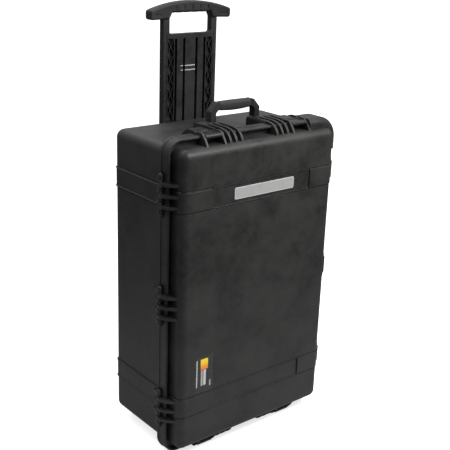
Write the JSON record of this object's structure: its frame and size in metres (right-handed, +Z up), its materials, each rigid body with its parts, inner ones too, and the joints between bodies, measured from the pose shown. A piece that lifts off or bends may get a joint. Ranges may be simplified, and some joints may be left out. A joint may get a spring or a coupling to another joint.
{
  "type": "wheeled hard equipment case",
  "caption": "Upright wheeled hard equipment case with a side-hinged lid, double-throw latches, fold-down carry handles and an extending pull handle.",
  "frame": {"origin": "on the floor, at the centre of the standing case's footprint", "axes": "+X across the lid from the hinges to the latches, +Y from the lid to the pull handle, +Z up"},
  "size_m": [0.52, 0.316, 1.061],
  "materials": {
    "shell_plastic": "fine moulded texture, matte charcoal black",
    "latch_plastic": "smooth satin black",
    "handle_plastic": "satin black, lightly textured",
    "soft_rubber": "matte black",
    "wheel_tread": "matte black, worn",
    "wheel_plastic": "satin dark grey",
    "plate_metal": "fine brushed, blank",
    "label_film": "printed film with plain colour blocks",
    "steel": "satin stainless"
  },
  "bodies": {
    "base": {"base_padlock_plates": "steel", "base_shell": "shell_plastic", "channel_screws": "steel", "handle_channel": "handle_plastic", "hinge_pins": "steel", "side_handle_pins": "steel", "top_handle_pins": "steel", "valve_body": "handle_plastic", "valve_membrane": "soft_rubber", "valve_nut": "handle_plastic", "valve_o_ring": "soft_rubber", "wheel_axle_left": "steel", "wheel_axle_right": "steel"},
    "lid": {"lid_shell": "shell_plastic", "lid_seal": "soft_rubber", "nameplate": "plate_metal", "care_label": "label_film", "lid_padlock_plates": "steel", "latch_pivot_pins": "steel"},
    "link_top_left": {"latch_link_top_left": "latch_plastic", "latch_pin_top_left": "steel"},
    "lever_top_left": {"latch_lever_top_left": "latch_plastic"},
    "link_top_right": {"latch_link_top_right": "latch_plastic", "latch_pin_top_right": "steel"},
    "lever_top_right": {"latch_lever_top_right": "latch_plastic"},
    "link_bottom_left": {"latch_link_bottom_left": "latch_plastic", "latch_pin_bottom_left": "steel"},
    "lever_bottom_left": {"latch_lever_bottom_left": "latch_plastic"},
    "link_bottom_right": {"latch_link_bottom_right": "latch_plastic", "latch_pin_bottom_right": "steel"},
    "lever_bottom_right": {"latch_lever_bottom_right": "latch_plastic"},
    "link_side_upper": {"latch_link_side_upper": "latch_plastic", "latch_pin_side_upper": "steel"},
    "lever_side_upper": {"latch_lever_side_upper": "latch_plastic"},
    "link_side_middle": {"latch_link_side_middle": "latch_plastic", "latch_pin_side_middle": "steel"},
    "lever_side_middle": {"latch_lever_side_middle": "latch_plastic"},
    "link_side_lower": {"latch_link_side_lower": "latch_plastic", "latch_pin_side_lower": "steel"},
    "lever_side_lower": {"latch_lever_side_lower": "latch_plastic"},
    "top_handle": {"top_handle_core": "handle_plastic", "top_handle_grip": "soft_rubber"},
    "side_handle": {"side_handle_core": "handle_plastic", "side_handle_grip": "soft_rubber"},
    "pull_handle": {"trolley_panel": "handle_plastic", "trolley_grip_front": "handle_plastic", "trolley_grip_back": "handle_plastic", "trolley_grip_screws": "steel"},
    "release": {"release_bar": "handle_plastic", "release_rods": "steel"},
    "wheel_left": {"wheel_tyre_left": "wheel_tread", "wheel_hub_left": "wheel_plastic", "wheel_bearings_left": "steel"},
    "wheel_right": {"wheel_tyre_right": "wheel_tread", "wheel_hub_right": "wheel_plastic", "wheel_bearings_right": "steel"}
  },
  "joints": [
    {"name": "lid_hinge", "type": "hinge", "parent": "base", "child": "lid", "pos_m": [-0.252, -0.0985, 0.401], "axis": [0, 0, -1], "range_deg": [0, 105]},
    {"name": "lever_top_left", "type": "hinge", "parent": "link_top_left", "child": "lever_top_left", "pos_m": [-0.131, -0.0905, 0.7935], "axis": [1, 0, 0], "range_deg": [0, 55]},
    {"name": "link_top_left", "type": "hinge", "parent": "lid", "child": "link_top_left", "pos_m": [-0.131, -0.1205, 0.793], "axis": [1, 0, 0], "range_deg": [0, 83]},
    {"name": "lever_top_right", "type": "hinge", "parent": "link_top_right", "child": "lever_top_right", "pos_m": [0.131, -0.0905, 0.7935], "axis": [1, 0, 0], "range_deg": [0, 55]},
    {"name": "link_top_right", "type": "hinge", "parent": "lid", "child": "link_top_right", "pos_m": [0.131, -0.1205, 0.793], "axis": [1, 0, 0], "range_deg": [0, 83]},
    {"name": "lever_bottom_left", "type": "hinge", "parent": "link_bottom_left", "child": "lever_bottom_left", "pos_m": [-0.131, -0.0905, 0.0085], "axis": [-1, 0, 0], "range_deg": [0, 55]},
    {"name": "link_bottom_left", "type": "hinge", "parent": "lid", "child": "link_bottom_left", "pos_m": [-0.131, -0.1205, 0.009], "axis": [-1, 0, 0], "range_deg": [0, 83]},
    {"name": "lever_bottom_right", "type": "hinge", "parent": "link_bottom_right", "child": "lever_bottom_right", "pos_m": [0.131, -0.0905, 0.0085], "axis": [-1, 0, 0], "range_deg": [0, 55]},
    {"name": "link_bottom_right", "type": "hinge", "parent": "lid", "child": "link_bottom_right", "pos_m": [0.131, -0.1205, 0.009], "axis": [-1, 0, 0], "range_deg": [0, 83]},
    {"name": "lever_side_upper", "type": "hinge", "parent": "link_side_upper", "child": "lever_side_upper", "pos_m": [0.2525, -0.0905, 0.661], "axis": [0, 0, -1], "range_deg": [0, 55]},
    {"name": "link_side_upper", "type": "hinge", "parent": "lid", "child": "link_side_upper", "pos_m": [0.252, -0.1205, 0.661], "axis": [0, 0, -1], "range_deg": [0, 83]},
    {"name": "lever_side_middle", "type": "hinge", "parent": "link_side_middle", "child": "lever_side_middle", "pos_m": [0.2525, -0.0905, 0.401], "axis": [0, 0, -1], "range_deg": [0, 55]},
    {"name": "link_side_middle", "type": "hinge", "parent": "lid", "child": "link_side_middle", "pos_m": [0.252, -0.1205, 0.401], "axis": [0, 0, -1], "range_deg": [0, 83]},
    {"name": "lever_side_lower", "type": "hinge", "parent": "link_side_lower", "child": "lever_side_lower", "pos_m": [0.2525, -0.0905, 0.141], "axis": [0, 0, -1], "range_deg": [0, 55]},
    {"name": "link_side_lower", "type": "hinge", "parent": "lid", "child": "link_side_lower", "pos_m": [0.252, -0.1205, 0.141], "axis": [0, 0, -1], "range_deg": [0, 83]},
    {"name": "top_handle_fold", "type": "hinge", "parent": "base", "child": "top_handle", "pos_m": [0, -0.0365, 0.787], "axis": [-1, 0, 0], "range_deg": [0, 90]},
    {"name": "side_handle_lift", "type": "hinge", "parent": "base", "child": "side_handle", "pos_m": [0.246, -0.0365, 0.401], "axis": [0, 0, -1], "range_deg": [0, 90]},
    {"name": "pull_handle_slide", "type": "slide", "parent": "base", "child": "pull_handle", "axis": [0, 0, -1], "range_m": [0, 0.291]},
    {"name": "release_squeeze", "type": "slide", "parent": "pull_handle", "child": "release", "axis": [0, 0, 1], "range_m": [0, 0.004]},
    {"name": "wheel_spin_left", "type": "hinge", "parent": "base", "child": "wheel_left", "pos_m": [-0.172, 0.1055, 0.04], "axis": [1, 0, 0], "continuous": true},
    {"name": "wheel_spin_right", "type": "hinge", "parent": "base", "child": "wheel_right", "pos_m": [0.172, 0.1055, 0.04], "axis": [1, 0, 0], "continuous": true}
  ],
  "couplings": [
    {"joint": "link_top_left", "follows": "lever_top_left", "ratio": 1.5},
    {"joint": "link_top_right", "follows": "lever_top_right", "ratio": 1.5},
    {"joint": "link_bottom_left", "follows": "lever_bottom_left", "ratio": 1.5},
    {"joint": "link_bottom_right", "follows": "lever_bottom_right", "ratio": 1.5},
    {"joint": "link_side_upper", "follows": "lever_side_upper", "ratio": 1.5},
    {"joint": "link_side_middle", "follows": "lever_side_middle", "ratio": 1.5},
    {"joint": "link_side_lower", "follows": "lever_side_lower", "ratio": 1.5}
  ]
}
